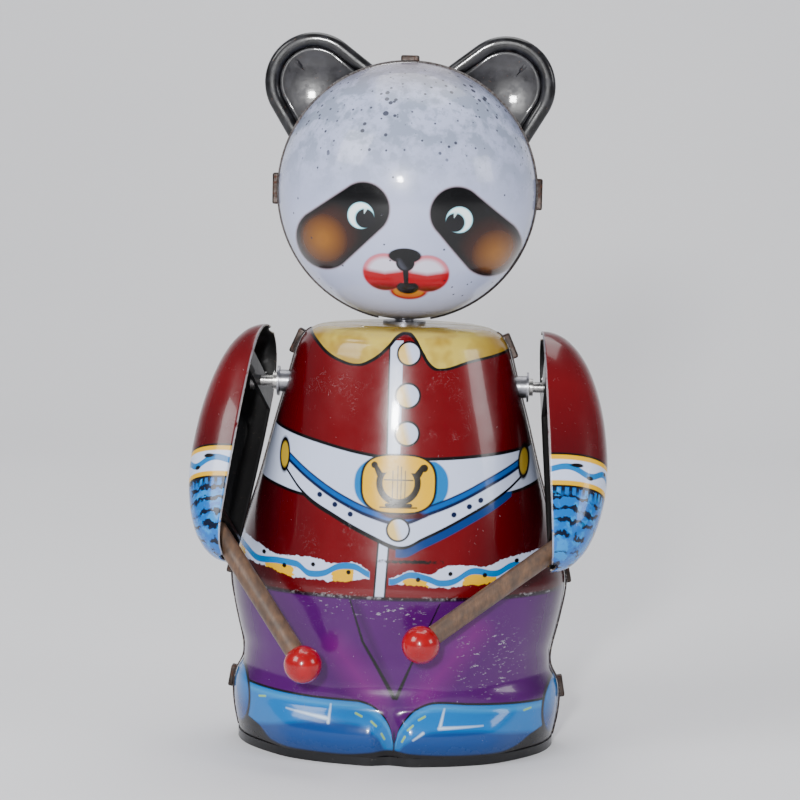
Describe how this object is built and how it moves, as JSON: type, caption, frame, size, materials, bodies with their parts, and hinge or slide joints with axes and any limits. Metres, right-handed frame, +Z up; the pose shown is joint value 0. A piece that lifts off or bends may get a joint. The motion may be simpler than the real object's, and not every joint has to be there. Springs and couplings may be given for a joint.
{
  "type": "wind-up tin toy",
  "caption": "Wind-up tin panda drummer: pressed tin body, round seamed head with dish ears, open arms that lift wooden drumsticks, clockwork and a winding key at the back.",
  "frame": {"origin": "on the flat underside of the base, under the middle of the body", "axes": "+Z up, the toy faces -Y, +X is the toy's own left side"},
  "size_m": [0.0959, 0.0888, 0.1645],
  "materials": {
    "body_print": "glossy lithographed tin",
    "body_seam": "worn gloss on a folded edge",
    "bare_tab": "rusty bare tin",
    "base_black": "black enamel",
    "rivet_steel": "plain",
    "bracket_steel": "pressed",
    "plate_steel": "rolled",
    "pillar_steel": "turned",
    "nut_steel": "plain",
    "spring_steel": "blued",
    "pin_steel": "turned",
    "bush_steel": "turned",
    "eyelet_brass": "turned",
    "arbor_steel": "turned",
    "key_nickel": "worn nickel plate",
    "wheel_brass": "stamped",
    "click_steel": "hardened",
    "cam_steel": "turned",
    "fly_brass": "folded",
    "lifter_steel": "stamped",
    "face_print": "glossy lithographed tin, worn",
    "head_print": "glossy tin, worn",
    "head_seam": "worn gloss on a folded edge",
    "ear_black": "glossy black",
    "clip_steel": "spring clip",
    "arm_print": "glossy lithographed tin, black inside",
    "strap_steel": "pressed",
    "grip_steel": "pressed",
    "shaft_steel": "bright drawn",
    "lever_steel": "stamped",
    "collar_steel": "turned",
    "stick_wood": "stained and worn",
    "ball_red": "glossy red lacquer"
  },
  "bodies": {
    "frame": {"body_front_shell": "body_print", "body_rear_shell": "body_print", "body_seam_bead": "body_seam", "body_seam_tabs": "bare_tab", "base_plate": "base_black", "base_rivets": "rivet_steel", "motor_brackets": "bracket_steel", "motor_front_plate": "plate_steel", "motor_rear_plate": "plate_steel", "motor_pillars": "pillar_steel", "pillar_nuts": "nut_steel", "spring_post": "pillar_steel", "mainspring": "spring_steel", "shaft_bridge": "bracket_steel", "lifter_guide_pins": "pin_steel", "left_shaft_bush": "bush_steel", "right_shaft_bush": "bush_steel", "neck_bush": "bush_steel", "key_eyelet": "eyelet_brass"},
    "winding_arbor": {"winding_arbor": "arbor_steel", "winding_key": "key_nickel", "ratchet_wheel": "wheel_brass"},
    "great_wheel": {"great_wheel": "wheel_brass"},
    "click": {"click": "click_steel"},
    "second_wheel": {"second_arbor": "arbor_steel", "second_wheel": "wheel_brass"},
    "cam_arbor": {"cam_arbor": "arbor_steel", "third_wheel": "wheel_brass", "drum_cam": "cam_steel"},
    "governor": {"governor_arbor": "arbor_steel", "governor_fly": "fly_brass"},
    "left_lifter": {"left_lifter": "lifter_steel"},
    "right_lifter": {"right_lifter": "lifter_steel"},
    "head": {"head_front_shell": "face_print", "head_rear_shell": "head_print", "head_seam_bead": "head_seam", "head_seam_tabs": "bare_tab", "left_ear": "ear_black", "right_ear": "ear_black", "neck_spindle": "pin_steel", "neck_clip": "clip_steel"},
    "left_arm": {"left_arm_shell": "arm_print", "left_arm_strap": "strap_steel", "left_stick_grip": "grip_steel", "left_arm_shaft": "shaft_steel", "left_arm_lever": "lever_steel", "left_shaft_collar": "collar_steel", "left_drumstick": "stick_wood", "left_stick_ball": "ball_red"},
    "right_arm": {"right_arm_shell": "arm_print", "right_arm_strap": "strap_steel", "right_stick_grip": "grip_steel", "right_arm_shaft": "shaft_steel", "right_arm_lever": "lever_steel", "right_shaft_collar": "collar_steel", "right_drumstick": "stick_wood", "right_stick_ball": "ball_red"}
  },
  "joints": [
    {"name": "key_wind", "type": "hinge", "parent": "frame", "child": "winding_arbor", "pos_m": [0, 0, 0.03], "axis": [0, 1, 0], "continuous": true},
    {"name": "great_wheel_turn", "type": "hinge", "parent": "frame", "child": "great_wheel", "pos_m": [0, -0.0061, 0.03], "axis": [0, 1, 0], "continuous": true},
    {"name": "click_lift", "type": "hinge", "parent": "great_wheel", "child": "click", "pos_m": [0.0072, -0.0049, 0.026], "axis": [0, 1, 0], "range_deg": [0, 10]},
    {"name": "second_wheel_turn", "type": "hinge", "parent": "frame", "child": "second_wheel", "pos_m": [0.00864, 0, 0.04152], "axis": [0, 1, 0], "continuous": true},
    {"name": "cam_turn", "type": "hinge", "parent": "frame", "child": "cam_arbor", "pos_m": [0, 0, 0.04749], "axis": [0, 1, 0], "continuous": true},
    {"name": "governor_turn", "type": "hinge", "parent": "frame", "child": "governor", "pos_m": [-0.0072, 0, 0.05289], "axis": [0, 1, 0], "continuous": true},
    {"name": "left_arm_swing", "type": "hinge", "parent": "frame", "child": "left_arm", "pos_m": [0.0326, 0, 0.084], "axis": [-1, 0, 0], "range_deg": [0, 20]},
    {"name": "right_arm_swing", "type": "hinge", "parent": "frame", "child": "right_arm", "pos_m": [-0.033, 0, 0.084], "axis": [-1, 0, 0], "range_deg": [0, 20]},
    {"name": "left_lifter_slide", "type": "slide", "parent": "frame", "child": "left_lifter", "axis": [0, 0, 1], "range_m": [0, 0.0038]},
    {"name": "right_lifter_slide", "type": "slide", "parent": "frame", "child": "right_lifter", "axis": [0, 0, 1], "range_m": [0, 0.0044]},
    {"name": "head_turn", "type": "hinge", "parent": "frame", "child": "head", "pos_m": [0, 0, 0.0988], "axis": [0, 0, 1], "range_deg": [-25, 25]}
  ],
  "couplings": [
    {"joint": "second_wheel_turn", "follows": "great_wheel_turn", "ratio": -3},
    {"joint": "cam_turn", "follows": "great_wheel_turn", "ratio": 7.5},
    {"joint": "governor_turn", "follows": "great_wheel_turn", "ratio": -15},
    {"joint": "left_lifter_slide", "follows": "left_arm_swing", "m_per_rad": 0.0104},
    {"joint": "right_lifter_slide", "follows": "right_arm_swing", "m_per_rad": 0.0124}
  ]
}
